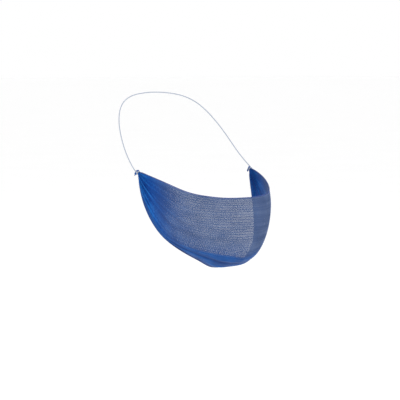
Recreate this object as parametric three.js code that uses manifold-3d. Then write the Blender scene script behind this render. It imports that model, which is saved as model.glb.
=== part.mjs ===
// A disposable beard cover, in the shape that it has when it is worn.
//
// A fine blue nylon net is stretched across the lower face, from in front of
// one ear to in front of the other. A thin hem runs along its upper edge and a
// bunched, doubled band along its lower edge, under the chin. At each end the
// net is gathered into pleats and tied with the end of a thin white elastic,
// which runs up over the ears and round the back of the head.
//
// Millimetres. +Z is up and the wearer looks towards -Y, with their right side
// at -X. The origin is the place where the chin sits in the cover.

import * as THREE from 'three';
import { mergeVertices } from 'three/addons/utils/BufferGeometryUtils.js';
import Module from 'manifold-3d';

const wasm = await Module();
wasm.setup();

// The gathered ends, and the line down the middle of the front. That line is
// one Bezier curve: under the nose, over the mouth, round the chin, and back
// to the hem at the throat.
const END = { x: 73.8, y: 80.5, z: 100.5 };
const NOSE = { y: -19, z: 75 };
const MOUTH_PULL = { y: -39.5, z: 48 };
const CHIN_PULL = { y: -39, z: -6.5 };
const THROAT = { y: 13, z: -3.2 };

// How a thread of the net runs from a gathered end to the middle: each column
// is the power of the sine or cosine that carries it inwards, forwards and
// down. girth is 0 at the upper edge and 1 at the lower edge.
const THREADS = [
  { girth: 0, inward: 0.66, forward: 1.36, down: 1.62 },
  { girth: 0.5, inward: 1.04, forward: 1.12, down: 1.2 },
  { girth: 1, inward: 1.15, forward: 1.3, down: 0.68 },
];

// The doubled band is narrow along the jaw and widens under the chin. Its
// reaches are angles: 0 at a gathered end and 90 in the middle of the front.
const BAND_WIDTH = { narrow: 4.5, wide: 37, first: 4, even: 26, swell: 32, full: 80 };

// The net's wall, and the tied waist and tail at each end of it.
const NET = { thick: 1, girthSteps: 24, reachSteps: 21, crowding: 1.35 };
const WAIST = { height: 4.6, thick: 2.6, fade: 4.5, round: 0.72 };
const TAIL = { length: 5, flare: 3.4, back: 0.78, up: 0.6, inward: 0.16 };
const PLEATS = { count: 6, height: 1.4, reach: 10 };

// The doubled band: longitudinal folds that grow towards the throat.
const BAND = { thick: 1.8, steps: 8, folds: 2, foldHeight: 1.1 };

const GAP = 0.36;
const HEM = { radius: 0.6, clear: 0.5, sides: 8, steps: 52, first: 5.5, points: 33 };
const ELASTIC = { radius: 0.6, sides: 8, steps: 76 };
const TIE = { radius: 0.5, ring: 2.7, long: 1.45, short: 0.84, knot: 1.2, out: 3 };

// The elastic's route from the right tie to the middle of the back of the
// head. The other half is its mirror image.
const ELASTIC_ROUTE = [
  { x: -76.6, y: 82.2, z: 101.7 },
  { x: -76.3, y: 88.4, z: 105.4 },
  { x: -75.4, y: 97, z: 111.2 },
  { x: -73.9, y: 109, z: 120.6 },
  { x: -71.7, y: 121.5, z: 132.5 },
  { x: -68.5, y: 133.5, z: 145 },
  { x: -63.8, y: 144.7, z: 157 },
  { x: -57, y: 154.8, z: 168.5 },
  { x: -47.5, y: 163, z: 178 },
  { x: -34, y: 169, z: 184.5 },
  { x: -17.5, y: 172.2, z: 187.7 },
  { x: 0, y: 173.2, z: 188.7 },
];

const LOOKS = {
  net: { color: 0x1d57a8, roughness: 0.75, metalness: 0 },
  hem: { color: 0x17458f, roughness: 0.7, metalness: 0 },
  band: { color: 0x1650a4, roughness: 0.7, metalness: 0 },
  elastic: { color: 0xdfe5ee, roughness: 0.6, metalness: 0 },
};

const RIGHT = -1;
const LEFT = 1;
const MIDDLE = 90;

const clamp01 = (value) => Math.min(1, Math.max(0, value));
const ease = (value) => value * value * (3 - 2 * value);

// The parabola through three values at the ends and the middle of 0 to 1.
function throughThree(first, middle, last, at) {
  return (
    2 * first * (at - 0.5) * (at - 1)
    - 4 * middle * at * (at - 1)
    + 2 * last * at * (at - 0.5)
  );
}

function threadPower(name, girth) {
  const [first, middle, last] = THREADS.map((row) => row[name]);
  return throughThree(first, middle, last, girth);
}

const frontLine = new THREE.CubicBezierCurve3(
  ...[NOSE, MOUTH_PULL, CHIN_PULL, THROAT].map(
    ({ y, z }) => new THREE.Vector3(0, y, z),
  ),
);

// The directions at a gathered end: along the tail, away from the net, and
// across it, from the upper edge of the net to the lower one.
function tailDirection(side) {
  return new THREE.Vector3(-side * TAIL.inward, TAIL.back, TAIL.up).normalize();
}

function waistDirection(side) {
  return new THREE.Vector3(side, 0, 0)
    .cross(tailDirection(side))
    .multiplyScalar(-side)
    .normalize();
}

// A point of the smooth surface of the worn cover. side is RIGHT or LEFT.
function surfacePoint(side, reach, girth) {
  const angle = THREE.MathUtils.degToRad(Math.max(reach, 0));
  const front = frontLine.getPoint(clamp01(girth));
  const inward = Math.cos(angle) ** threadPower('inward', girth);
  const forward = Math.sin(angle) ** threadPower('forward', girth);
  const down = Math.sin(angle) ** threadPower('down', girth);
  const point = new THREE.Vector3(
    side * END.x * inward,
    END.y - (END.y - front.y) * forward,
    END.z - (END.z - front.z) * down,
  );
  const spread = WAIST.height * (girth - 0.5) * Math.exp(-reach / WAIST.fade);
  return point.addScaledVector(waistDirection(side), spread);
}

// The unit step over the surface from its upper edge towards its lower one.
function girthDirection(side, reach, girth) {
  const step = 0.01;
  const low = surfacePoint(side, reach, Math.max(girth - step, 0));
  const high = surfacePoint(side, reach, Math.min(girth + step, 1));
  return high.sub(low).normalize();
}

// The unit step along a thread, away from its gathered end.
function threadDirection(side, reach, girth) {
  const step = 0.4;
  if (reach > MIDDLE - step) return new THREE.Vector3(-side, 0, 0);
  const behind = surfacePoint(side, Math.max(reach - step, 0), girth);
  return surfacePoint(side, reach + step, girth).sub(behind).normalize();
}

function outwardNormal(side, reach, girth) {
  const along = threadDirection(side, reach, girth);
  const normal = along.cross(girthDirection(side, reach, girth));
  return normal.multiplyScalar(side).normalize();
}

// The unit step over the surface at right angles to a thread, downwards.
function acrossThread(side, reach, girth) {
  const along = threadDirection(side, reach, girth);
  return outwardNormal(side, reach, girth).cross(along).multiplyScalar(side);
}

// The distance over the surface from the upper edge to the lower one.
function girthLength(side, reach) {
  const pieces = 24;
  let length = 0;
  for (let i = 0; i < pieces; i += 1) {
    const start = surfacePoint(side, reach, i / pieces);
    length += start.distanceTo(surfacePoint(side, reach, (i + 1) / pieces));
  }
  return length;
}

const rise = (value, from, to) => clamp01((value - from) / (to - from));

function bandWidth(reach) {
  const { narrow, wide, first, even, swell, full } = BAND_WIDTH;
  const swollen = (wide - narrow) * ease(rise(reach, swell, full));
  return narrow * Math.sqrt(rise(reach, first, even)) + swollen;
}

// Where the net stops and the band starts, as a share of the girth.
function bandStart(side, reach) {
  return 1 - bandWidth(reach) / girthLength(side, reach);
}

// The pleats stand highest a little way out from the tie, then die away.
function pleatHeight(reach, girth) {
  const out = Math.max(reach, 0) / PLEATS.reach;
  const height = PLEATS.height * out ** 2 * Math.exp(2 * (1 - out));
  return height * Math.cos(2 * Math.PI * PLEATS.count * girth);
}

// One closed loop round the wall of the net, down the outside and back up the
// inside. A reach below zero lies in the tail, beyond the tie.
function netSection(side, reach) {
  const beyond = clamp01(-reach / TAIL.length);
  const near = Math.exp(-Math.max(reach, 0) / WAIST.fade);
  const thick = NET.thick + (WAIST.thick - NET.thick) * near;
  const lowest = bandStart(side, reach);
  const trim = lowest < 1 ? GAP / 2 : 0;
  const outside = [];
  const inside = [];
  for (let i = 0; i <= NET.girthSteps; i += 1) {
    const share = i / NET.girthSteps;
    const girth = share * lowest;
    const point = surfacePoint(side, Math.max(reach, 0), girth);
    if (i === NET.girthSteps) {
      point.addScaledVector(acrossThread(side, reach, girth), -trim);
    }
    point.addScaledVector(tailDirection(side), beyond * TAIL.length);
    point.addScaledVector(
      waistDirection(side),
      TAIL.flare * beyond * (girth - 0.5),
    );
    const normal = near > 0.9
      ? new THREE.Vector3(side, 0, 0)
      : outwardNormal(side, reach, girth);
    const rounding = 1 - WAIST.round * near * (2 * share - 1) ** 2;
    const middle = pleatHeight(reach, share);
    const half = (thick * rounding) / 2;
    outside.push(point.clone().addScaledVector(normal, middle + half));
    inside.push(point.clone().addScaledVector(normal, middle - half));
  }
  return [...outside, ...inside.reverse()];
}

// The band: doubled cloth with folds along it, thin where it meets the tie.
function bandSection(side, reach) {
  const start = bandStart(side, reach);
  const grown = bandWidth(reach) / BAND_WIDTH.wide;
  const thick = NET.thick + (BAND.thick - NET.thick) * Math.sqrt(grown);
  const outside = [];
  const inside = [];
  for (let i = 0; i <= BAND.steps; i += 1) {
    const share = i / BAND.steps;
    const girth = THREE.MathUtils.lerp(start, 1, share);
    const point = surfacePoint(side, reach, girth);
    if (i === 0) {
      point.addScaledVector(acrossThread(side, reach, girth), GAP / 2);
    }
    const normal = outwardNormal(side, reach, girth);
    const wave = Math.sin(2 * Math.PI * BAND.folds * share);
    const fold = BAND.foldHeight * grown * wave;
    outside.push(point.clone().addScaledVector(normal, fold + thick / 2));
    inside.push(point.clone().addScaledVector(normal, fold - thick / 2));
  }
  return [...outside, ...inside.reverse()];
}

// A closed solid through a row of equal loops, shut by a fan at each end.
function skinSections(sections) {
  const size = sections[0].length;
  const positions = [];
  const index = [];
  sections.flat().forEach((point) => positions.push(...point.toArray()));
  for (let row = 0; row + 1 < sections.length; row += 1) {
    for (let i = 0; i < size; i += 1) {
      const here = row * size + i;
      const next = row * size + ((i + 1) % size);
      index.push(here, here + size, next, next, here + size, next + size);
    }
  }
  [0, sections.length - 1].forEach((row) => {
    const centre = new THREE.Vector3();
    sections[row].forEach((point) => centre.addScaledVector(point, 1 / size));
    const hub = positions.length / 3;
    positions.push(...centre.toArray());
    for (let i = 0; i < size; i += 1) {
      const here = row * size + i;
      const next = row * size + ((i + 1) % size);
      if (row === 0) index.push(hub, here, next);
      else index.push(hub, next, here);
    }
  });
  const geometry = new THREE.BufferGeometry();
  geometry.setAttribute('position', new THREE.Float32BufferAttribute(positions, 3));
  geometry.setIndex(index);
  return facingOut(geometry);
}

// The same geometry with its faces turned outwards, by its enclosed volume.
function facingOut(geometry) {
  const index = geometry.index.array;
  const position = geometry.attributes.position;
  const corner = [new THREE.Vector3(), new THREE.Vector3(), new THREE.Vector3()];
  let volume = 0;
  for (let i = 0; i < index.length; i += 3) {
    corner.forEach((point, k) => point.fromBufferAttribute(position, index[i + k]));
    volume += corner[0].dot(corner[1].clone().cross(corner[2])) / 6;
  }
  if (volume < 0) {
    for (let i = 0; i < index.length; i += 3) {
      [index[i], index[i + 1]] = [index[i + 1], index[i]];
    }
  }
  geometry.computeVertexNormals();
  return geometry;
}

function welded(geometry) {
  const bare = geometry.clone();
  bare.deleteAttribute('normal');
  bare.deleteAttribute('uv');
  return mergeVertices(bare, 1e-3);
}

// A round tube along a curve, with flat ends.
function tubeAlong(points, { radius, sides, steps }) {
  const outline = Array.from({ length: sides }, (_, i) => {
    const angle = (2 * Math.PI * i) / sides;
    return new THREE.Vector2(radius * Math.cos(angle), radius * Math.sin(angle));
  });
  const extrudePath = new THREE.CatmullRomCurve3(points, false, 'centripetal');
  const options = { extrudePath, steps, bevelEnabled: false };
  const tube = new THREE.ExtrudeGeometry(new THREE.Shape(outline), options);
  return facingOut(welded(tube));
}

const mirrored = ({ x, y, z }) => new THREE.Vector3(-x, y, z);

// Stations from the right end round to the left end, without the middle twice.
function stationsBothSides(reaches, makeSection) {
  const right = reaches.map((reach) => makeSection(RIGHT, reach));
  const left = reaches.slice(0, -1).map((reach) => makeSection(LEFT, reach));
  return [...right, ...left.reverse()];
}

function netReaches() {
  const reaches = [-TAIL.length, -TAIL.length / 2, 0];
  for (let i = 1; i <= NET.reachSteps; i += 1) {
    reaches.push(MIDDLE * (i / NET.reachSteps) ** NET.crowding);
  }
  return reaches;
}

function bandReaches() {
  return netReaches().filter((reach) => reach > BAND_WIDTH.first);
}

function topHem() {
  const offset = HEM.clear + HEM.radius;
  const right = Array.from({ length: HEM.points }, (_, i) => {
    const share = i / (HEM.points - 1);
    const reach = HEM.first + (MIDDLE - HEM.first) * share ** NET.crowding;
    const above = acrossThread(RIGHT, reach, 0).multiplyScalar(-offset);
    return surfacePoint(RIGHT, reach, 0).add(above);
  });
  const left = right.slice(0, -1).map(mirrored).reverse();
  return tubeAlong([...right, ...left], HEM);
}

function elasticCord() {
  const right = ELASTIC_ROUTE.map(({ x, y, z }) => new THREE.Vector3(x, y, z));
  const left = right.slice(0, -1).map(mirrored).reverse();
  return tubeAlong([...right, ...left], ELASTIC);
}

function toManifold(geometry) {
  const bare = welded(geometry);
  const mesh = new wasm.Mesh({
    numProp: 3,
    vertProperties: new Float32Array(bare.attributes.position.array),
    triVerts: new Uint32Array(bare.index.array),
  });
  return new wasm.Manifold(mesh);
}

function fromManifold(solid) {
  const { vertProperties, triVerts } = solid.getMesh();
  const geometry = new THREE.BufferGeometry();
  geometry.setAttribute('position', new THREE.BufferAttribute(vertProperties, 3));
  geometry.setIndex(new THREE.BufferAttribute(triVerts, 1));
  return facingOut(geometry);
}

// The elastic's end, wound round the waist of the net and knotted outside it.
function tie(side) {
  const across = waistDirection(side);
  const along = tailDirection(side);
  const outward = along.clone().cross(across).normalize();
  const placed = new THREE.Matrix4().makeBasis(across, outward, along);
  placed.setPosition(side * END.x, END.y, END.z);
  const ring = new THREE.TorusGeometry(TIE.ring, TIE.radius, 8, 18);
  ring.scale(TIE.long, TIE.short, 1);
  const knot = new THREE.SphereGeometry(TIE.knot, 12, 8);
  const standsOut = Math.sign(outward.x) === side ? 1 : -1;
  knot.translate(0, standsOut * TIE.out, 0);
  const joined = toManifold(ring).add(toManifold(knot));
  return fromManifold(joined).applyMatrix4(placed);
}

const cover = new THREE.Group();

function addPiece(name, geometry, look) {
  const piece = new THREE.Mesh(geometry, new THREE.MeshStandardMaterial(LOOKS[look]));
  piece.name = name;
  cover.add(piece);
}

addPiece('net_shell', skinSections(stationsBothSides(netReaches(), netSection)), 'net');
addPiece('top_hem', topHem(), 'hem');
addPiece('chin_band', skinSections(stationsBothSides(bandReaches(), bandSection)), 'band');
addPiece('right_tie', tie(RIGHT), 'elastic');
addPiece('left_tie', tie(LEFT), 'elastic');
addPiece('elastic_cord', elasticCord(), 'elastic');

export default cover;
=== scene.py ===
"""The looks of a disposable beard cover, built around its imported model.

Every plain solid of the model is hidden, and stands in for something finer: a
net knitted from single yarns, a doubled chin band with folds along it, an
overlocked upper hem, elastic wound round each gathered end of the net, and the
thin white elastic that goes round the head.

Metres. +Z is up and the wearer looks towards -Y, with their right side at -X.
"""

import math

import bpy
import numpy as np
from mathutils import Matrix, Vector


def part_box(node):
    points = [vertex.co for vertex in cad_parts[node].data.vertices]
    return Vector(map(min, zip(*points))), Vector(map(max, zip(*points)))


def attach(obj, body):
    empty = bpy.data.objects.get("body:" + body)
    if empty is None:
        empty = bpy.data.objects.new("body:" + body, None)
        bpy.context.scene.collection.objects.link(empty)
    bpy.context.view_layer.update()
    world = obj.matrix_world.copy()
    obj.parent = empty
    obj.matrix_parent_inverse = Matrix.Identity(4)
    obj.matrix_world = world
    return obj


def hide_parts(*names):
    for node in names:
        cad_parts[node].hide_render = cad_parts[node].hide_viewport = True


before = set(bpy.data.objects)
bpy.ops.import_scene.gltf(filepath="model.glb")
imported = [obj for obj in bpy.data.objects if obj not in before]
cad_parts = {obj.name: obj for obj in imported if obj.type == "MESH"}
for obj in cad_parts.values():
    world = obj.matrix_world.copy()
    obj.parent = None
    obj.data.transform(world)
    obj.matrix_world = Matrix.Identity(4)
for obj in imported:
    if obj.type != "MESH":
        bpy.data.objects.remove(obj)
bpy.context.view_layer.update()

RIGHT, LEFT = -1, 1
MIDDLE = 90.0

# The worn shape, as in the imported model. A reach is an angle: 0 at a gathered
# end and 90 in the middle of the front. A girth is 0 at the upper edge and 1
# at the lower edge. The front line is a curve down the middle of the front, by its
# place back and up. The three powers bend the way from an end to the middle, at the
# upper edge, halfway down and at the lower edge.
END_X = 0.0738
FRONT_LINE = np.array([[-0.019, 0.075], [-0.0395, 0.048], [-0.039, -0.0065], [0.013, -0.0032]])
INWARD = (0.66, 1.04, 1.15)
FORWARD = (1.36, 1.12, 1.3)
DOWN = (1.62, 1.2, 0.68)

# The band's width at the jaw and under the chin, and the reaches at which it starts,
# is even, starts to swell and is full.
BAND_WIDTH = {"narrow": 0.0045, "wide": 0.037, "first": 0.3, "even": 24, "swell": 32, "full": 80}

# A gathered end: the size of its bundle and the reach over which it opens out, the
# way through it, and the short tail of net beyond the tie, which flares and turns.
WAIST = {"height": 0.0038, "deep": 0.0022, "fade": 4.5}
WAIST_AXIS = {"inward": 0.16, "back": 0.78, "up": 0.6}
TAIL = {"length": 0.0056, "flare": 0.0034, "turn": 1.0, "outward": 0.2, "back": 0.97, "up": -0.1}

# Steps of the fine lines and girths by which lengths over the surface are measured.
LINE_STEPS = 2000
GIRTH_STEPS = {"whole": 25, "net": 49}

# Where the cloth hangs lower than the smooth shape, by this drop, or higher: a dip
# in the upper edge over each cheek, a sag of the hem at each jaw and a deeper one to
# the right of the chin, and the tighter stretch under the chin and to its left.
DROPS = [
    {"sides": (RIGHT, LEFT), "reach": 53, "far": 15, "girth": 0.0, "tall": 0.2, "drop": 0.0018},
    {"sides": (RIGHT, LEFT), "reach": 30, "far": 14, "girth": 1.0, "tall": 0.2, "drop": 0.0019},
    {"sides": (RIGHT,), "reach": 72.5, "far": 8, "girth": 1.0, "tall": 0.2, "drop": 0.0028},
    {"sides": (RIGHT, LEFT), "reach": 90, "far": 14, "girth": 0.86, "tall": 0.13, "drop": -0.0020},
    {"sides": (LEFT,), "reach": 72, "far": 9, "girth": 0.86, "tall": 0.16, "drop": -0.0006},
]

# The elastic's route from the right tie to the middle of the back of the head,
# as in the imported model. The other half is its mirror image.
ELASTIC_ROUTE = [
    (-0.0766, 0.0822, 0.1017),
    (-0.0763, 0.0884, 0.1054),
    (-0.0754, 0.0970, 0.1112),
    (-0.0739, 0.1090, 0.1206),
    (-0.0717, 0.1215, 0.1325),
    (-0.0685, 0.1335, 0.1450),
    (-0.0638, 0.1447, 0.1570),
    (-0.0570, 0.1548, 0.1685),
    (-0.0475, 0.1630, 0.1780),
    (-0.0340, 0.1690, 0.1845),
    (-0.0175, 0.1722, 0.1877),
    (0.0, 0.1732, 0.1887),
]
ELASTIC = {"radius": 0.0006, "length": 0.337, "sides": 10, "step": 0.00045, "rib": 0.07}

# The steps on which the net is laid out, over each half of it and each tail.
NET_STEPS = {"half": 400, "tail": 12}

# The net: chains of two yarns from tie to tie. The yarns of a chain swing apart in a
# loop, of at most a share of the gap between rows, and cross at every stitch, where
# they are wider and pass over each other. There are so many stitches from a tie to
# the middle of the front, two more in each tail, and so many rings of vertices to a
# stitch. The first and last chains lie these shares of a gap inside the net's edges.
# All sizes of yarns are half sizes. A yarn has its full size where the rows are this
# far apart, and less where they are closer.
KNIT = {"chains": 29, "above": 0.2, "below": 0.4, "stitches": 57, "tail_stitches": 2, "rings": 3}
KNIT_YARN = {"sides": 3, "wide": 0.0003, "deep": 0.00018, "crossing": 1.8, "over": 0.9}
LOOP = {"wide": 0.00026, "share": 0.3}
SLACK = {"full": 0.0012, "least": 0.6}

# The yarns laid in the gaps, from a reach just past the tie. Each swings from one share
# of its gap to another at every ring, and lies off the chains to one side of the cloth.
LAID = {"deep": 0.00011, "sides": 3, "first": 1.0}
LAID_YARNS = [
    {"from": 0.0, "to": 1.0, "wide": 0.000235, "lift": 0.00016},
    {"from": 1.0, "to": 0.0, "wide": 0.000235, "lift": -0.00016},
]
FILLING_YARNS = [
    {"from": 0.5, "to": 0.5, "wide": 0.00035, "lift": 0.00005},
]

# How the net changes from the ties to the middle of the front, by distance from the
# tie and by the gap between rows: the yarns are thicker near a tie and shut the gaps
# there, they are finer where the rows crowd together under the chin, and they are
# paler where the net is stretched. The rows bunch towards the chin.
RELAXED = {"extra": 0.68, "run": 0.076}
CLOSED = {"fill": 0.46, "from": 0.015, "to": 0.080}
FINER = {"gap": 0.0022, "least": 0.7, "from": 0.04, "to": 0.1}
STRETCHED = {"from": 0.0006, "to": 0.0025, "none": 0.008, "full": 0.115}
BUNCHING = 0.45

# The rows also drift a little, on two long waves that beat together and a short one.
# Each wave has its metres to a radian, its lean across the net and its start.
DRIFT = {"long": 0.007, "short": 0.003, "from": 0.01, "to": 0.04}
DRIFT_WAVES = [(0.011, 9, 0.0), (0.0237, 14, 1.0), (0.0071, -17, 2.0)]

# The overlocked edge: a core of threads that stands above the net, on so many steps to
# each half, and two finer threads wound round it. It starts at one reach and has grown
# to full size at another, and a second line just below it gives its directions.
HEM = {"rise": 0.0011, "first": 1.2, "full": 9, "steps": 600, "below": 0.01}
HEM_CORE = {"least": 0.00018, "more": 0.0002, "sides": 8}
HEM_WRAP = {"away": 0.00024, "more": 0.0002, "lead": 0.0016, "step": 0.00018}
HEM_WRAP_YARN = {"radius": 0.00014, "sides": 4}

# The doubled band: the rows over its width and the steps over each half of its length,
# how far past the start of its width it begins, its thickness, how square its two
# edges are and how blunt, and the narrow rolled edge at its foot, set off by a groove
# and by painted shade, which comes in between two widths of the band.
BAND = {"rows": 56, "steps": 150, "first": 0.5, "thin": 0.0007, "thick": 0.0008}
BAND_EDGES = {"square": 6, "blunt": 0.02}
BEAD = {"at": 0.0013, "wide": 0.0006, "deep": 0.0005, "painted_shade": 2.2, "none": 0.005, "full": 0.011}

# The folds along the band: how high they are, and for the broad and the finer ones
# their part of that, their number over the width, and how they follow two waves that
# wander up and down it. Each wave has its size, its metres to a radian and its start.
# The same folds also paint the band: a painted highlight on each crest and painted shade in each
# trough.
FOLD_HEIGHT = 0.0007
FOLDS = [
    {"part": 0.7, "number": 2, "follows": 1},
    {"part": 0.3, "number": 4.5, "follows": -2},
]
WANDER_WAVES = [(0.25, 0.013, 0.0), (0.18, 0.0071, 1.3)]

# The pleats at a gathered end: where each lies from the upper edge (0) to the
# lower one (1), how wide it is, how high it stands, and how far it runs.
# A pleat's height also paints the net: a painted highlight on its crest and painted shade in its
# troughs.
PLEATS = [
    {"at": 0.06, "wide": 0.045, "high": 0.0016, "far": 0.034},
    {"at": 0.18, "wide": 0.035, "high": 0.0010, "far": 0.024},
    {"at": 0.29, "wide": 0.040, "high": 0.0019, "far": 0.032},
    {"at": 0.41, "wide": 0.035, "high": 0.0011, "far": 0.026},
    {"at": 0.54, "wide": 0.050, "high": 0.0025, "far": 0.046},
    {"at": 0.67, "wide": 0.035, "high": 0.0012, "far": 0.030},
    {"at": 0.79, "wide": 0.045, "high": 0.0019, "far": 0.044},
    {"at": 0.93, "wide": 0.040, "high": 0.0017, "far": 0.060},
]

# A pleat has risen at one distance from the tie and falls from another. A trough lies
# on either side of it, so many times as wide and as deep, and it draws in the rows
# within so many widths. At each end the pleats vary by these shares and shifts.
PLEAT_RUN = {"risen": 0.006, "falls": 0.014}
TROUGH = {"wide": 2, "deep": 0.5}
DRAWN = {"within": 1.3, "pull": 0.3}
PLEAT_SPREAD = {RIGHT: {"scale": 0.1, "shift": 0}, LEFT: {"scale": 0.25, "shift": 0.03}}

# The elastic wound round a gathered end: an oval winding, a knot of three lobes on
# its outside, the lead to the head loop, and a short cut end, whose points are given
# outward and along from the knot. The elastic is thinner where it's drawn tighter.
WINDING = {"turns": 2.5, "pitch": 0.00064, "across": 0.0022, "outward": 0.0015, "steps": 150}
KNOT = {"away": 0.0022, "ring": 0.0007, "lobe": 0.00035, "weave": 0.0004, "steps": 70}
KNOT_TURNS = {"lobes": 3, "rounds": 2}
CUT_END = [(0.0007, 0.0008), (0.0005, 0.0024)]
WOUND_RADII = {"winding": 0.00034, "knot": 0.0004, "lead": 0.00056, "cut": 0.0004}
WOUND = {"step": 0.0004, "sides": 8}

CAMERA = {"place": (-1.06003, -1.69392, 0.22257), "target": (-0.03286, 0.01559, 0.07261)}
LENS = {"focal": 163.6, "sensor": 36}
FLOOR = {"height": -0.32, "half": 60.0}
LIGHT_TARGET = (0, 0.05, 0.08)
LIGHTS = {
    "key": {"place": (-1.6, -1.5, 1.7), "size": 1.2, "watts": 38},
    "fill": {"place": (1.7, -1.4, 0.9), "size": 1.4, "watts": 14},
    "back": {"place": (0.6, 2.0, 1.6), "size": 1.2, "watts": 14},
}

SEEDS = {"yarns": 21, "pleats": 40}
rng = np.random.default_rng(SEEDS["yarns"])


# ---------------------------------------------------------------- small tools


def unit(vectors):
    """The same directions, with a length of 1."""
    return vectors / np.linalg.norm(vectors, axis=-1, keepdims=True)


def rise(value, low, high):
    """Where a value stands between low (0) and high (1), held to that range."""
    return np.clip((value - low) / (high - low), 0, 1)


def ease(value):
    """The same rise from 0 to 1, with a gentle start and end."""
    return value * value * (3 - 2 * value)


def through_three(values, at):
    """The parabola through three values at the ends and the middle of 0 to 1."""
    first, middle, last = values
    start = 2 * first * (at - 0.5) * (at - 1)
    return start - 4 * middle * at * (at - 1) + 2 * last * at * (at - 0.5)


def run_along(line):
    """How far each point of a line is from its start, along the line."""
    return np.concatenate([[0], np.cumsum(np.linalg.norm(np.diff(line, axis=0), axis=1))])


def read_along(even, run, vectors):
    """Vectors given at the runs of a line's points, read at other runs."""
    return np.stack([np.interp(even, run, vectors[:, k]) for k in range(3)], axis=-1)


# ------------------------------------------------------------ the worn surface

END = np.array([END_X, *np.mean(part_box("right_tie"), axis=0)[1:]])


def waist_axis(side):
    """Through a gathered end, away from the net."""
    return unit(np.array([-side * WAIST_AXIS["inward"], WAIST_AXIS["back"], WAIST_AXIS["up"]]))


def tail_direction(side):
    """Where the short tail of net beyond a tie points."""
    return unit(np.array([side * TAIL["outward"], TAIL["back"], TAIL["up"]]))


def waist_direction(side):
    """Across a gathered end, from the net's upper edge to its lower one."""
    return unit(np.cross([side, 0, 0], waist_axis(side)) * -side)


def front_line(girth):
    """How far back and how high the middle of the front is, on a curve from edge to edge."""
    at = np.clip(girth, 0, 1)[..., None]
    rest = 1 - at
    weights = [rest**3, 3 * rest**2 * at, 3 * rest * at**2, at**3]
    return sum(weight * point for weight, point in zip(weights, FRONT_LINE))


def surface(side, reach, girth):
    """Points of the worn surface. A reach below 0 lies in the tail, beyond the tie."""
    side, reach, girth = np.broadcast_arrays(side, reach, np.asarray(girth, float))
    angle = np.radians(np.clip(reach, 0, MIDDLE))
    sine = np.sin(angle)
    cosine = np.maximum(np.cos(angle), 0)
    front = front_line(girth)
    points = np.stack(
        [
            side * END[0] * cosine ** through_three(INWARD, girth),
            END[1] - (END[1] - front[..., 0]) * sine ** through_three(FORWARD, girth),
            END[2] - (END[2] - front[..., 1]) * sine ** through_three(DOWN, girth),
        ],
        axis=-1,
    )
    for low in DROPS:
        near = np.exp(-(((reach - low["reach"]) / low["far"]) ** 2))
        near = near * np.exp(-(((girth - low["girth"]) / low["tall"]) ** 2))
        points[..., 2] -= np.where(np.isin(side, low["sides"]), low["drop"] * near, 0)
    beyond = np.clip(-reach, 0, 1)
    spread = WAIST["height"] * (girth - 0.5) * np.exp(-np.maximum(reach, 0) / WAIST["fade"])
    spread = spread + TAIL["flare"] * beyond * (girth - 0.5)
    turned = np.clip(TAIL["turn"] * beyond, 0, 1)
    for end in (RIGHT, LEFT):
        here = (side == end)[..., None]
        bend = (1 - turned)[..., None] * waist_axis(end) + turned[..., None] * tail_direction(end)
        points = points + here * (beyond * TAIL["length"])[..., None] * bend
        points = points + here * spread[..., None] * waist_direction(end)
    return points


def girth_length(side, reach):
    """How far it is over the surface from the upper edge to the lower one."""
    girths = np.linspace(0, 1, GIRTH_STEPS["whole"])[:, None]
    steps = np.diff(surface(side, reach, girths), axis=0)
    return np.linalg.norm(steps, axis=-1).sum(axis=0)


def band_width(reach):
    """The width of the doubled band: narrow along the jaw and wide under the chin."""
    narrow, wide = BAND_WIDTH["narrow"], BAND_WIDTH["wide"]
    swollen = (wide - narrow) * ease(rise(reach, BAND_WIDTH["swell"], BAND_WIDTH["full"]))
    return narrow * np.sqrt(rise(reach, BAND_WIDTH["first"], BAND_WIDTH["even"])) + swollen


def band_start(side, reach):
    """The girth at which the net stops and the band starts."""
    return 1 - band_width(reach) / girth_length(side, reach)


def frames_of(points):
    """Outward normal and downward direction of a grid (row, station)."""
    along = unit(np.gradient(points, axis=1))
    outward = unit(np.cross(np.gradient(points, axis=0), along))
    return outward, np.cross(along, outward)


def stations(steps, first=0.0, tail=0):
    """Side, reach and distance from the tie, at even steps from the right end to the left.

    There are so many steps to each half, and where a tail is wanted more steps to it.
    """
    fine = np.linspace(first, MIDDLE, LINE_STEPS)
    run = run_along(surface(RIGHT, fine, 0.5))
    distance = np.linspace(0, run[-1], steps + 1)
    reach = np.interp(distance, run, fine)
    beyond = np.linspace(-1, 0, tail + 1)[:-1]
    reach = np.concatenate([beyond, reach])
    distance = np.concatenate([beyond * TAIL["length"], distance])
    side = np.repeat([RIGHT, LEFT], [len(reach), len(reach) - 1])
    mirrored = slice(-2, None, -1)
    reach = np.concatenate([reach, reach[mirrored]])
    distance = np.concatenate([distance, distance[mirrored]])
    return side, reach, distance


# ---------------------------------------------------------------- mesh making


def new_piece(name, vertices, faces, material, attributes=None):
    """A smooth mesh object. Each attribute holds one number for every vertex."""
    mesh = bpy.data.meshes.new(name)
    mesh.from_pydata(vertices.reshape(-1, 3).tolist(), [], faces)
    mesh.polygons.foreach_set("use_smooth", np.ones(len(mesh.polygons), bool))
    for key, values in (attributes or {}).items():
        layer = mesh.attributes.new(key, "FLOAT", "POINT")
        layer.data.foreach_set("value", np.ascontiguousarray(values, np.float32).ravel())
    mesh.materials.append(material)
    mesh.update()
    piece = bpy.data.objects.new(name, mesh)
    bpy.context.scene.collection.objects.link(piece)
    return piece


def tube_faces(tubes, rings, sides):
    """Faces of closed tubes whose vertices run by tube, ring and side."""
    first = np.arange(tubes * rings * sides).reshape(tubes, rings, sides)
    here, ahead = first[:, :-1], first[:, 1:]
    quads = np.stack([here, ahead, np.roll(ahead, -1, axis=2), np.roll(here, -1, axis=2)], axis=-1)
    starts = first[:, 0]
    ends = first[:, -1, ::-1]
    return quads.reshape(-1, 4).tolist() + starts.tolist() + ends.tolist()


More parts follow.
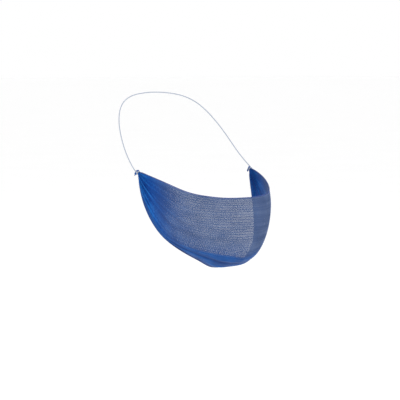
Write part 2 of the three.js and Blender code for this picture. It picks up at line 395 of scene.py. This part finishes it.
def tube_points(centre, across, outward, wide, deep, sides):
    """Vertices round centre lines (tube, ring), as an oval of half sizes wide and deep.

    The first vertex of each ring is a quarter turn round, on the outward side.
    """
    turn = 2 * np.pi * (np.arange(sides) / sides + 0.25)
    wide = np.broadcast_to(wide, centre.shape[:-1])[..., None, None]
    deep = np.broadcast_to(deep, centre.shape[:-1])[..., None, None]
    cosine = np.cos(turn)[:, None]
    sine = np.sin(turn)[:, None]
    sideways = wide * cosine * across[..., None, :]
    return centre[..., None, :] + sideways + deep * sine * outward[..., None, :]


def joined(parts):
    """One vertex array and one face list from several (vertices, faces) pairs."""
    vertices, faces, offset = [], [], 0
    for points, polygons in parts:
        flat = points.reshape(-1, 3)
        vertices.append(flat)
        faces += [[index + offset for index in polygon] for polygon in polygons]
        offset += len(flat)
    return np.concatenate(vertices), faces


# Any direction that no tube starts out in, so that a normal can be squared from it.
ANY_DIRECTION = (0.31, 0.17, 0.93)
CURVE_STEPS = 24


def smooth_path(points, step):
    """A Catmull-Rom curve through the points, resampled at an even step."""
    points = np.array(points, float)
    first = 2 * points[0] - points[1]
    last = 2 * points[-1] - points[-2]
    padded = np.vstack([first, points, last])
    at = np.linspace(0, 1, CURVE_STEPS, endpoint=False)[:, None]
    pieces = []
    for a, b, c, d in zip(padded, padded[1:], padded[2:], padded[3:]):
        curve = 2 * b + (c - a) * at + (2 * a - 5 * b + 4 * c - d) * at**2
        pieces.append(0.5 * (curve + (3 * b - a - 3 * c + d) * at**3))
    line = np.vstack([*pieces, points[-1]])
    run = run_along(line)
    even = np.linspace(0, run[-1], max(2, round(run[-1] / step) + 1))
    return read_along(even, run, line)


def swept(path, radius, sides):
    """A closed round tube along one path, as (vertices, faces), with no twist in it."""
    along = unit(np.gradient(path, axis=0))
    outward = np.zeros_like(path)
    normal = unit(np.cross(along[0], ANY_DIRECTION))
    for i, direction in enumerate(along):
        normal = unit(normal - direction * (normal @ direction))
        outward[i] = normal
    across = np.cross(along, outward)
    points = tube_points(path[None], across[None], outward[None], radius, radius, sides)
    return points, tube_faces(1, len(path), sides)


# ------------------------------------------------------------------ materials


# A noise seldom leaves this range.
NOISE_RANGE = (0.3, 0.7)


class Nodes:
    """A small helper that adds and wires the nodes of one material."""

    def __init__(self, name):
        self.material = bpy.data.materials.new(name)
        self.material.use_nodes = True
        self.tree = self.material.node_tree
        self.shader = self.tree.nodes["Principled BSDF"]

    def add(self, kind, inputs=None, **settings):
        node = self.tree.nodes.new(kind)
        for key, value in settings.items():
            setattr(node, key, value)
        for key, value in (inputs or {}).items():
            self.set(node.inputs[key], value)
        return node

    def set(self, socket, value):
        if isinstance(value, bpy.types.NodeSocket):
            self.tree.links.new(value, socket)
        else:
            socket.default_value = value

    def attribute(self, name):
        return self.add("ShaderNodeAttribute", attribute_name=name).outputs["Fac"]

    def math(self, operation, first, second=0.0):
        node = self.add("ShaderNodeMath", operation=operation)
        self.set(node.inputs[0], first)
        self.set(node.inputs[1], second)
        return node.outputs[0]

    def remap(self, value, low, high, to_low, to_high):
        limits = {"From Min": low, "From Max": high, "To Min": to_low, "To Max": to_high}
        node = self.add("ShaderNodeMapRange", {"Value": value, **limits})
        return node.outputs["Result"]

    def noise(self, scale, detail=2.0):
        place = self.add("ShaderNodeTexCoord").outputs["Object"]
        node = self.add("ShaderNodeTexNoise", {"Vector": place, "Scale": scale, "Detail": detail})
        return node.outputs["Fac"]

    def patches(self, scale, low, high):
        """Soft patches from low to high."""
        return self.remap(self.noise(scale), *NOISE_RANGE, low, high)

    def ramp(self, value, colours):
        """A blend through evenly spaced colours, as the value goes from 0 to 1."""
        node = self.add("ShaderNodeValToRGB", {"Fac": value})
        elements = node.color_ramp.elements
        while len(elements) < len(colours):
            elements.new(0.5)
        for index, colour in enumerate(colours):
            elements[index].position = index / (len(colours) - 1)
            elements[index].color = (*colour, 1)
        return node.outputs["Color"]

    def mix(self, share, first, second):
        """A blend of two colours. Their sockets share a name with the number ones."""
        node = self.add("ShaderNodeMix", data_type="RGBA")
        for index, value in {0: share, 6: first, 7: second}.items():
            self.set(node.inputs[index], value)
        return node.outputs[2]

    def bump(self, height, strength, distance):
        facts = {"Height": height, "Strength": strength, "Distance": distance}
        return self.add("ShaderNodeBump", facts).outputs["Normal"]

    def fibres(self, scale, strength, distance):
        """The fine unevenness of spun or textured yarn, as a normal."""
        return self.bump(self.noise(scale, detail=1.0), strength, distance)

    def tone(self, amounts, fold, texture):
        """A place on a colour ramp: its middle, moved by patches, by the painted highlight and
        shade of folds, and by texture.
        """
        cloudy = self.patches(amounts["scale"], -amounts["patches"], amounts["patches"])
        fold = self.math("MULTIPLY", fold, amounts["fold"])
        texture = self.math("MULTIPLY", texture, amounts["texture"])
        return self.math("ADD", self.math("ADD", cloudy, fold), self.math("ADD", texture, 0.5))

    def finish(self, linked, **constants):
        """Set the shader's own constants, link the rest, and give the material back."""
        for key, value in constants.items():
            self.shader.inputs[key.replace("_", " ")].default_value = value
        for key, value in linked.items():
            self.set(self.shader.inputs[key], value)
        return self.material


GAMMA = 2.2


def linear(red, green, blue):
    """A colour given as screen values from 0 to 255."""
    return tuple((value / 255) ** GAMMA for value in (red, green, blue))


# From the darkest tone of each to the lightest.
NET_GATHERED = [linear(2, 36, 98), linear(7, 67, 137), linear(38, 108, 184)]
NET_STRETCHED = [linear(62, 82, 121), linear(85, 103, 141), linear(110, 128, 163)]
BAND_BLUE = [linear(3, 32, 80), linear(9, 60, 118), linear(26, 90, 160)]
HEM_NAVY = [linear(16, 40, 96), linear(34, 72, 146)]
ELASTIC_WHITE = [linear(112, 122, 140), linear(160, 168, 182)]
FLOOR_WHITE = [(0.985, 0.985, 0.985), (0.995, 0.995, 0.995)]

# The scale of patches, and how far they, the painted highlight and shade of the folds, and the
# texture move a tone.
NET_TONE = {"scale": 55.0, "patches": 0.12, "fold": 0.9, "texture": 0.12}
BAND_TONE = {"scale": 70.0, "patches": 0.13, "fold": 0.2, "texture": 0.13}

# How far apart the band's rows of stitches are, and its stitches, and how much each
# shows. From one row to the next the stitches shift by a share of a stitch.
BAND_APART = {"row": 0.0011, "stitch": 0.0019}
BAND_SHOWN = {"row": 0.7, "stitch": 0.3}
BAND_SHIFT = 0.5


def net_material():
    """Dyed nylon yarn, paler where it's drawn thin, with a painted highlight on the crest of a
    pleat and painted shade in its troughs.
    """
    nodes = Nodes("blue_nylon_net")
    tone = nodes.tone(NET_TONE, nodes.attribute("fold"), nodes.attribute("yarn"))
    gathered, stretched_out = nodes.ramp(tone, NET_GATHERED), nodes.ramp(tone, NET_STRETCHED)
    colour = nodes.mix(nodes.attribute("stretched"), gathered, stretched_out)
    fibres = nodes.fibres(scale=9000.0, strength=0.35, distance=0.00008)
    linked = {"Base Color": colour, "Normal": fibres}
    return nodes.finish(linked, Roughness=0.6, Specular_IOR_Level=0.1)


def band_material():
    """The same nylon, doubled: rows of stitches, a painted highlight on each fold, and painted
    shade in the troughs between folds and along the rolled foot.
    """
    nodes = Nodes("blue_nylon_band")
    row, stitch = (
        nodes.math("MULTIPLY", nodes.attribute(name), 2 * math.pi / apart)
        for name, apart in BAND_APART.items()
    )
    shifted = nodes.math("ADD", stitch, nodes.math("MULTIPLY", row, BAND_SHIFT))
    rows = nodes.math("MULTIPLY", nodes.math("COSINE", row), BAND_SHOWN["row"])
    stitches = nodes.math("MULTIPLY", nodes.math("COSINE", shifted), BAND_SHOWN["stitch"])
    knit = nodes.math("ADD", rows, stitches)
    tone = nodes.tone(BAND_TONE, nodes.attribute("fold"), knit)
    raised = nodes.bump(knit, strength=0.6, distance=0.0002)
    linked = {"Base Color": nodes.ramp(tone, BAND_BLUE), "Normal": raised}
    return nodes.finish(linked, Roughness=0.6, Specular_IOR_Level=0.2)


def hem_material():
    """Spun thread of a darker blue than the net."""
    nodes = Nodes("navy_overlock_thread")
    colour = nodes.ramp(nodes.patches(scale=400.0, low=0, high=1), HEM_NAVY)
    fibres = nodes.fibres(scale=7000.0, strength=0.4, distance=0.0001)
    linked = {"Base Color": colour, "Normal": fibres}
    return nodes.finish(linked, Roughness=0.6, Sheen_Weight=0.2, Sheen_Roughness=0.4)


def elastic_material():
    """White textured yarn over rubber, faintly grey in patches."""
    nodes = Nodes("white_covered_elastic")
    colour = nodes.ramp(nodes.patches(scale=1500.0, low=0, high=1), ELASTIC_WHITE)
    fibres = nodes.fibres(scale=6000.0, strength=0.5, distance=0.0001)
    linked = {"Base Color": colour, "Normal": fibres}
    return nodes.finish(linked, Roughness=0.7, Sheen_Weight=0.3, Sheen_Roughness=0.5)


def floor_material():
    """Matt and nearly white, with patches that hardly show."""
    nodes = Nodes("pale_floor")
    colour = nodes.ramp(nodes.patches(scale=3.0, low=0, high=1), FLOOR_WHITE)
    return nodes.finish({"Base Color": colour}, Roughness=0.8)


# --------------------------------------------------------------------- camera


def add_aimed(name, data, place, target):
    """A camera or light that looks from a place towards a target."""
    thing = bpy.data.objects.new(name, data)
    thing.location = place
    direction = Vector(target) - Vector(place)
    thing.rotation_euler = direction.to_track_quat("-Z", "Y").to_euler()
    bpy.context.scene.collection.objects.link(thing)
    return thing


def make_camera():
    """The photograph's angle: from the wearer's front right, a little above the chin."""
    data = bpy.data.cameras.new("camera")
    data.sensor_width = LENS["sensor"]
    data.lens = LENS["focal"]
    bpy.context.scene.camera = add_aimed("camera", data, CAMERA["place"], CAMERA["target"])


# ------------------------------------------------------------------ the pieces


def head_elastic(material):
    """The head loop: covered elastic with fine ribs, from tie to tie."""
    mirrored = [(-x, y, z) for x, y, z in ELASTIC_ROUTE[-2::-1]]
    path = smooth_path(ELASTIC_ROUTE + mirrored, ELASTIC["step"])
    ribs = 1 - ELASTIC["rib"] * (np.arange(len(path)) % 2)
    vertices, faces = swept(path, ELASTIC["radius"] * ribs[None], ELASTIC["sides"])
    piece = new_piece("head_elastic", vertices, faces, material)
    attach(piece, "root")
    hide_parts("elastic_cord")


def side_pleats(side):
    """The pleats of one gathered end as (at, wide, high, far). The ends don't gather alike."""
    draw = np.random.default_rng(SEEDS["pleats"] + side)
    spread, shift = PLEAT_SPREAD[side]["scale"], PLEAT_SPREAD[side]["shift"]
    rows = []
    for pleat in PLEATS:
        high, wide, far = draw.uniform(1 - spread, 1 + spread, 3)
        at = pleat["at"] + (draw.uniform(-shift, shift) if shift else 0)
        rows.append((at, pleat["wide"] * wide, pleat["high"] * high, pleat["far"] * far))
    return rows


PLEATS_BY_SIDE = {side: side_pleats(side) for side in (RIGHT, LEFT)}


def pleat_run(distance, far):
    """How much of a pleat there is at a distance from the tie: it rises fast and dies out."""
    risen = ease(rise(distance, 0, PLEAT_RUN["risen"]))
    return risen * (1 - ease(rise(distance, PLEAT_RUN["falls"], far)))


def pleat_height(side, distance, share):
    """How far the pleats stand out, in metres, at each (share, distance)."""
    height = np.zeros(np.broadcast(distance, share).shape)
    for end, pleats in PLEATS_BY_SIDE.items():
        for at, wide, high, far in pleats:
            crest = np.exp(-(((share - at) / wide) ** 2))
            trough = np.exp(-(((share - at) / (TROUGH["wide"] * wide)) ** 2))
            lifted = high * (crest - TROUGH["deep"] * trough) * pleat_run(distance, far)
            height += np.where(side == end, lifted, 0)
    return height


def drawn_together(side, distance, share):
    """The shares of the chains, drawn towards the crest of each pleat."""
    moved = share + np.zeros(np.broadcast(distance, share).shape)
    for end, pleats in PLEATS_BY_SIDE.items():
        for at, wide, _, far in pleats:
            pull = np.exp(-(((share - at) / (DRAWN["within"] * wide)) ** 2)) * (at - share)
            pulled = DRAWN["pull"] * pull * pleat_run(distance, far)
            moved += np.where(side == end, pulled, 0)
    return moved


def even_girths(side, reach, share):
    """Girths at these shares of the net's width, and the width, measured square to its rows."""
    fine = np.linspace(0, 1, GIRTH_STEPS["net"])[:, None] * band_start(side, reach)
    points = surface(side, reach, fine)
    along = unit(np.gradient(points, axis=1))[1:]
    steps = np.diff(points, axis=0)
    square = steps - (steps * along).sum(axis=-1, keepdims=True) * along
    run = np.vstack([np.zeros_like(reach), np.cumsum(np.linalg.norm(square, axis=-1), axis=0)])
    part = run / run[-1]
    columns = [np.interp(share[:, k], part[:, k], fine[:, k]) for k in range(len(reach))]
    return np.stack(columns, axis=1), run[-1]


def unevenness(run, share):
    """The small slow drift of the rows that keeps a net from looking printed."""
    first, second, short = (
        np.sin(run / metres + lean * share + start) for metres, lean, start in DRIFT_WAVES
    )
    return DRIFT["long"] * (first * second) + DRIFT["short"] * short


def even_places(lines, tail):
    """Fractional station numbers that split every row evenly between tie, middle and tie."""
    middle = lines.shape[1] // 2
    knots = [0, tail, middle, 2 * middle - tail, 2 * middle]
    inner = KNIT["stitches"] * KNIT["rings"]
    outer = KNIT["tail_stitches"] * KNIT["rings"]
    places = []
    for line in lines:
        run = run_along(line)
        marks = [
            np.linspace(run[start], run[stop], count, endpoint=False)
            for start, stop, count in zip(knots, knots[1:], (outer, inner, inner, outer))
        ]
        places.append(np.interp(np.concatenate([*marks, run[-1:]]), run, np.arange(len(run))))
    return np.array(places)


def at_places(values, places):
    """Values given by (row, station) or by station, read at fractional station numbers."""
    if values.ndim == 1:
        values = np.broadcast_to(values, (len(places), len(values)))
    low = np.minimum(places.astype(int), values.shape[1] - 2)
    part = places - low
    row = np.arange(len(places))[:, None]
    if values.ndim == 3:
        part = part[..., None]
    return values[row, low] * (1 - part) + values[row, low + 1] * part


def net_rows():
    """The middle lines of the chains, with what varies along them, as arrays (chain, station)."""
    chains, above, below = KNIT["chains"], KNIT["above"], KNIT["below"]
    side, reach, distance = stations(NET_STEPS["half"], tail=NET_STEPS["tail"])
    share = ((np.arange(chains) + above) / (chains - 1 + (above + below)))[:, None]
    share = share + BUNCHING * share**2 * (1 - share)
    drift = unevenness(side * (distance.max() - distance), share)
    drift = drift * rise(distance, DRIFT["from"], DRIFT["to"])
    drawn = drawn_together(side, distance, share)
    drawn = np.clip(drawn + drift * 4 * share * (1 - share), 0, 1)
    girth, width = even_girths(side, reach, drawn)
    smooth = surface(side, reach, girth)
    places = even_places(smooth, NET_STEPS["tail"])
    outward, _ = frames_of(smooth)
    height = at_places(pleat_height(side, distance, share), places)
    smooth, outward = at_places(smooth, places), unit(at_places(outward, places))
    gap = row_gaps(smooth)
    reach, distance, width = (at_places(values, places) for values in (reach, distance, width))
    fine = finer(gap, distance)
    fine[-1] = 1  # the chain along the band keeps its size
    near = np.exp(-np.maximum(reach, 0) / WAIST["fade"])
    bundle = rng.uniform(-1, 1, chains)[:, None] * np.sqrt(1 - (2 * share - 1) ** 2)
    pleated = smooth + height[..., None] * outward
    centre = pleated + (bundle * near * WAIST["deep"] / 2)[..., None] * outward
    outward, across = frames_of(pleated)
    return {
        "centre": centre,
        "across": across,
        "outward": outward,
        "height": height,
        "pitch": width / chains,
        "stretched": stretched(gap, distance),
        "finer": fine,
        "reach": reach,
        "distance": distance,
    }


def relaxed(distance):
    """How much thicker the yarn is where the net isn't stretched, near the ties."""
    return 1 + RELAXED["extra"] * np.exp(-((np.maximum(distance, 0) / RELAXED["run"]) ** 2))


def stretched(gap, distance):
    """How far the net is drawn out and so paler: where its rows lie apart, away from the ties."""
    apart = ease(rise(gap, STRETCHED["from"], STRETCHED["to"]))
    return apart * ease(rise(distance, STRETCHED["none"], STRETCHED["full"]))


def finer(gap, distance):
    """How much finer the knitting is where its rows crowd together under the chin."""
    crowded = 1 - np.clip(gap / FINER["gap"], FINER["least"], 1)
    return 1 - crowded * ease(rise(distance, FINER["from"], FINER["to"]))


def closing(distance):
    """The least half width of a chain's yarn near a tie, as a share of the gap between rows."""
    return CLOSED["fill"] * (1 - ease(rise(distance, CLOSED["from"], CLOSED["to"])))


def row_gaps(centre):
    """How far each row is from its further neighbour, at every station."""
    apart = np.linalg.norm(np.diff(centre, axis=0), axis=-1)
    return np.maximum(np.concatenate([apart[:1], apart]), np.concatenate([apart, apart[-1:]]))


def pleat_painted_shading(height):
    """The height of a pleat as a share of the highest, for the painted highlight on its crest and
    painted shade in its troughs.
    """
    return height / max(pleat["high"] for pleat in PLEATS)


def yarn_tint(shape):
    """A tint for each yarn, the same all along it."""
    return np.broadcast_to(rng.normal(0, 1, (shape[0], 1)), shape)


def net_chains(rows, material):
    """Chains of two yarns that cross at every stitch, from tail to tail."""
    rings, sides, pitch = KNIT["rings"], KNIT_YARN["sides"], rows["pitch"]
    station = np.arange(pitch.shape[1])
    crossing = station % rings == 0
    loop = np.minimum(LOOP["wide"] * rows["finer"], LOOP["share"] * pitch)
    room = np.clip(np.sqrt(pitch / SLACK["full"]), SLACK["least"], 1)
    slack = relaxed(rows["distance"]) * room * rows["finer"]
    wide, deep = KNIT_YARN["wide"] * slack, KNIT_YARN["deep"] * slack
    wide = np.maximum(wide, closing(rows["distance"]) * row_gaps(rows["centre"]))
    wide = wide * np.where(crossing, KNIT_YARN["crossing"], 1)
    turn = np.where((station // rings) % 2 == 0, 1, -1)
    parts, tints = [], []
    for ply in (1, -1):
        sideways = np.where(crossing, 0, ply * turn) * loop
        over = np.where(crossing, ply * turn, 0) * deep * KNIT_YARN["over"]
        line = rows["centre"] + sideways[..., None] * rows["across"]
        line = line + over[..., None] * rows["outward"]
        vertices = tube_points(line, rows["across"], rows["outward"], wide, deep, sides)
        parts.append((vertices, tube_faces(*pitch.shape, sides)))
        tints.append(np.repeat(yarn_tint(pitch.shape), sides))
    vertices, faces = joined(parts)
    # Painted light: the pleats' heights make the yarn lighter on their crests and darker in their
    # troughs.
    attributes = {
        "fold": np.tile(np.repeat(pleat_painted_shading(rows["height"]), sides), 2),
        "yarn": np.concatenate(tints),
        "stretched": np.tile(np.repeat(rows["stretched"], sides), 2),
    }
    return new_piece("net_chains", vertices, faces, material, attributes)


def laid_yarns(name, table, rows, material):
    """Fine yarns that fill the gaps between the chains, the hem and the band."""
    usable = np.flatnonzero(rows["reach"].min(axis=0) > LAID["first"])
    sides = LAID["sides"]
    top = rows["centre"][:1] - rows["across"][:1] * HEM["rise"]
    foot = 2 * rows["centre"][-1:] - rows["centre"][-2:-1]
    centre = np.concatenate([top, rows["centre"], foot])
    to_next = np.diff(centre, axis=0)
    gap = np.linalg.norm(to_next, axis=-1)
    across = unit(to_next)
    outward = unit(np.cross(across, np.gradient(centre[:-1], axis=1)))
    gap, across, outward = gap[:, usable], across[:, usable], outward[:, usable]
    height, distance, stretch, fine = (
        np.concatenate([rows[key][:1], rows[key]])[:, usable]
        for key in ("height", "distance", "stretched", "finer")
    )
    step = np.median(np.linalg.norm(np.diff(rows["centre"][:, usable], axis=1), axis=-1))
    slack = relaxed(distance) * fine
    parts, tints = [], []
    for yarn in table:
        swing = np.where(np.arange(len(usable)) % 2 == 0, yarn["from"], yarn["to"])[:, None]
        line = centre[:-1, usable] * (1 - swing) + centre[1:, usable] * swing
        line = line + yarn["lift"] * outward
        mitre = np.sqrt(1 + (abs(yarn["to"] - yarn["from"]) * gap / step) ** 2)
        wide = yarn["wide"] * slack * mitre
        vertices = tube_points(line, across, outward, wide, LAID["deep"], sides)
        parts.append((vertices, tube_faces(*gap.shape, sides)))
        tints.append(np.repeat(yarn_tint(gap.shape), sides))
    vertices, faces = joined(parts)
    # Painted light: the pleats' heights make the yarn lighter on their crests and darker in their
    # troughs.
    attributes = {
        "fold": np.tile(np.repeat(pleat_painted_shading(height), sides), len(table)),
        "yarn": np.concatenate(tints),
        "stretched": np.tile(np.repeat(stretch, sides), len(table)),
    }
    return new_piece(name, vertices, faces, material, attributes)


def knit_net(material):
    """The net, as its chains and two pieces of yarns laid in their gaps."""
    rows = net_rows()
    chains = net_chains(rows, material)
    laid = laid_yarns("laid_yarns", LAID_YARNS, rows, material)
    filling = laid_yarns("filling_yarns", FILLING_YARNS, rows, material)
    for piece in (chains, laid, filling):
        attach(piece, "root")
    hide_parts("net_shell")


def band_folds(run, share):
    """Two broad folds and some finer ones along the band, which wander up and down it."""
    wander = sum(size * np.sin(run / metres + start) for size, metres, start in WANDER_WAVES)
    folds = sum(
        fold["part"] * np.sin(2 * np.pi * fold["number"] * share + fold["follows"] * wander)
        for fold in FOLDS
    )
    return folds * (1 - (2 * share - 1) ** 4)


def chin_band(material):
    """The doubled lower hem: bunched cloth with folds that run along it, as one closed form."""
    side, reach, distance = stations(BAND["steps"], first=BAND_WIDTH["first"] + BAND["first"])
    share = np.linspace(0, 1, BAND["rows"])[:, None]
    width = band_width(reach)
    start = band_start(side, reach)
    smooth = surface(side, reach, start + (1 - start) * share)
    outward, _ = frames_of(smooth)
    grown = width / BAND_WIDTH["wide"]
    run = side * (distance.max() - distance)
    folds = band_folds(run, share)
    to_edge = width * (1 - share)
    groove = np.exp(-(((to_edge - BEAD["at"]) / BEAD["wide"]) ** 2))
    height = FOLD_HEIGHT * np.sqrt(grown) * folds - BEAD["deep"] * groove
    # Painted shade along the rolled foot, which shows where the band is wide, and the folds'
    # painted highlight on their crests and shade in their troughs.
    edge = ease(rise(width, BEAD["none"], BEAD["full"])) * np.exp(-((to_edge / BEAD["at"]) ** 2))
    shade = folds - BEAD["painted_shade"] * edge
    rounded = np.sqrt(1 + BAND_EDGES["blunt"] - np.abs(2 * share - 1) ** BAND_EDGES["square"])
    thick = (BAND["thin"] + BAND["thick"] * np.sqrt(grown)) * rounded
    outer = smooth + height[..., None] * outward
    inner = smooth + (height - thick)[..., None] * outward
    ring = np.concatenate([outer, inner[::-1]], axis=0)
    vertices = np.swapaxes(ring, 0, 1)[None]
    faces = tube_faces(1, len(reach), len(ring))
    fold = np.concatenate([shade, shade[::-1]]).T
    row = np.concatenate([width * share, (width * share)[::-1]]).T
    stitch = np.broadcast_to(run[:, None], row.shape)
    attributes = {"fold": fold, "row": row, "stitch": stitch}
    piece = new_piece("doubled_band", vertices, faces, material, attributes)
    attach(piece, "root")
    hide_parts("chin_band")


def top_hem(material):
    """A cord of threads with two finer ones wrapped round it, as an overlocker leaves it."""
    side, reach, _ = stations(HEM["steps"], first=HEM["first"])
    edge = surface(side, reach, [[0.0], [HEM["below"]]])
    outward, across = frames_of(edge)
    grown = ease(rise(reach, 0, HEM["full"]))
    path = edge[0] - (HEM["rise"] * grown)[:, None] * across[0]
    radius = (HEM_CORE["least"] + HEM_CORE["more"] * grown)[None]
    parts = [swept(path, radius, HEM_CORE["sides"])]
    run = run_along(path)
    even = np.linspace(0, run[-1], int(run[-1] / HEM_WRAP["step"]))
    line, up, out = (read_along(even, run, vectors) for vectors in (path, across[0], outward[0]))
    away = (HEM_WRAP["away"] + HEM_WRAP["more"] * np.interp(even, run, grown))[:, None]
    for start in (0, math.pi):
        turn = (2 * math.pi * even / HEM_WRAP["lead"] + start)[:, None]
        wrap = line + away * (np.cos(turn) * up + np.sin(turn) * out)
        parts.append(swept(wrap, **HEM_WRAP_YARN))
    vertices, faces = joined(parts)
    piece = new_piece("overlock_hem", vertices, faces, material)
    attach(piece, "root")
    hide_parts("top_hem")


def binding(side, name, node, material):
    """Elastic wound round the gathered end of the net, and its knot."""
    centre = np.array([side * END[0], END[1], END[2]])
    along = waist_axis(side)
    across = waist_direction(side)
    outward = unit(np.cross(along, across))
    outward = outward * np.sign(outward[0]) * side
    turn = np.linspace(0, 2 * math.pi * WINDING["turns"], WINDING["steps"])[:, None]
    rising = WINDING["pitch"] * (turn / (2 * math.pi) - WINDING["turns"] / 2)
    winding = centre + WINDING["across"] * np.cos(turn) * across
    winding = winding + WINDING["outward"] * np.sin(turn) * outward + rising * along
    middle = centre + KNOT["away"] * outward
    turn = np.linspace(0, 2 * math.pi, KNOT["steps"])[:, None]
    lobes, rounds = KNOT_TURNS["lobes"] * turn, KNOT_TURNS["rounds"] * turn
    bulge = KNOT["ring"] + KNOT["lobe"] * np.cos(lobes)
    knot = middle + bulge * (np.cos(rounds) * across + np.sin(rounds) * along)
    knot = knot + KNOT["weave"] * np.sin(lobes) * outward
    first = np.array(ELASTIC_ROUTE[0]) * [-side, 1, 1]
    lead = smooth_path([middle, (middle + first) / 2, first], WOUND["step"])
    cut = [middle, *(middle + out * outward + on * along for out, on in CUT_END)]
    lines = {"winding": winding, "knot": knot, "lead": lead, "cut": smooth_path(cut, WOUND["step"])}
    parts = [swept(line, WOUND_RADII[key], WOUND["sides"]) for key, line in lines.items()]
    vertices, faces = joined(parts)
    piece = new_piece(name, vertices, faces, material)
    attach(piece, "root")
    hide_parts(node)


# ---------------------------------------------------------------------- stage


def make_stage():
    """A pale floor well below the cover, which a head would hold up."""
    half = FLOOR["half"]
    mesh = bpy.data.meshes.new("floor")
    corners = [(-half, -half), (half, -half), (half, half), (-half, half)]
    mesh.from_pydata([(*corner, FLOOR["height"]) for corner in corners], [], [(0, 1, 2, 3)])
    mesh.materials.append(floor_material())
    floor = bpy.data.objects.new("floor", mesh)
    bpy.context.scene.collection.objects.link(floor)


def make_lights():
    """White surroundings and three large soft lamps."""
    world = bpy.data.worlds.new("studio")
    world.use_nodes = True
    background = world.node_tree.nodes["Background"]
    background.inputs["Color"].default_value = (1, 1, 1, 1)
    background.inputs["Strength"].default_value = 1.0
    bpy.context.scene.world = world
    for name, lamp in LIGHTS.items():
        data = bpy.data.lights.new(name, "AREA")
        data.shape = "DISK"
        data.size = lamp["size"]
        data.energy = lamp["watts"]
        add_aimed(name, data, lamp["place"], LIGHT_TARGET)
    bpy.context.scene.view_settings.view_transform = "Standard"


make_camera()
white = elastic_material()
head_elastic(white)
knit_net(net_material())
chin_band(band_material())
top_hem(hem_material())
binding(RIGHT, "right_binding", "right_tie", white)
binding(LEFT, "left_binding", "left_tie", white)
make_stage()
make_lights()
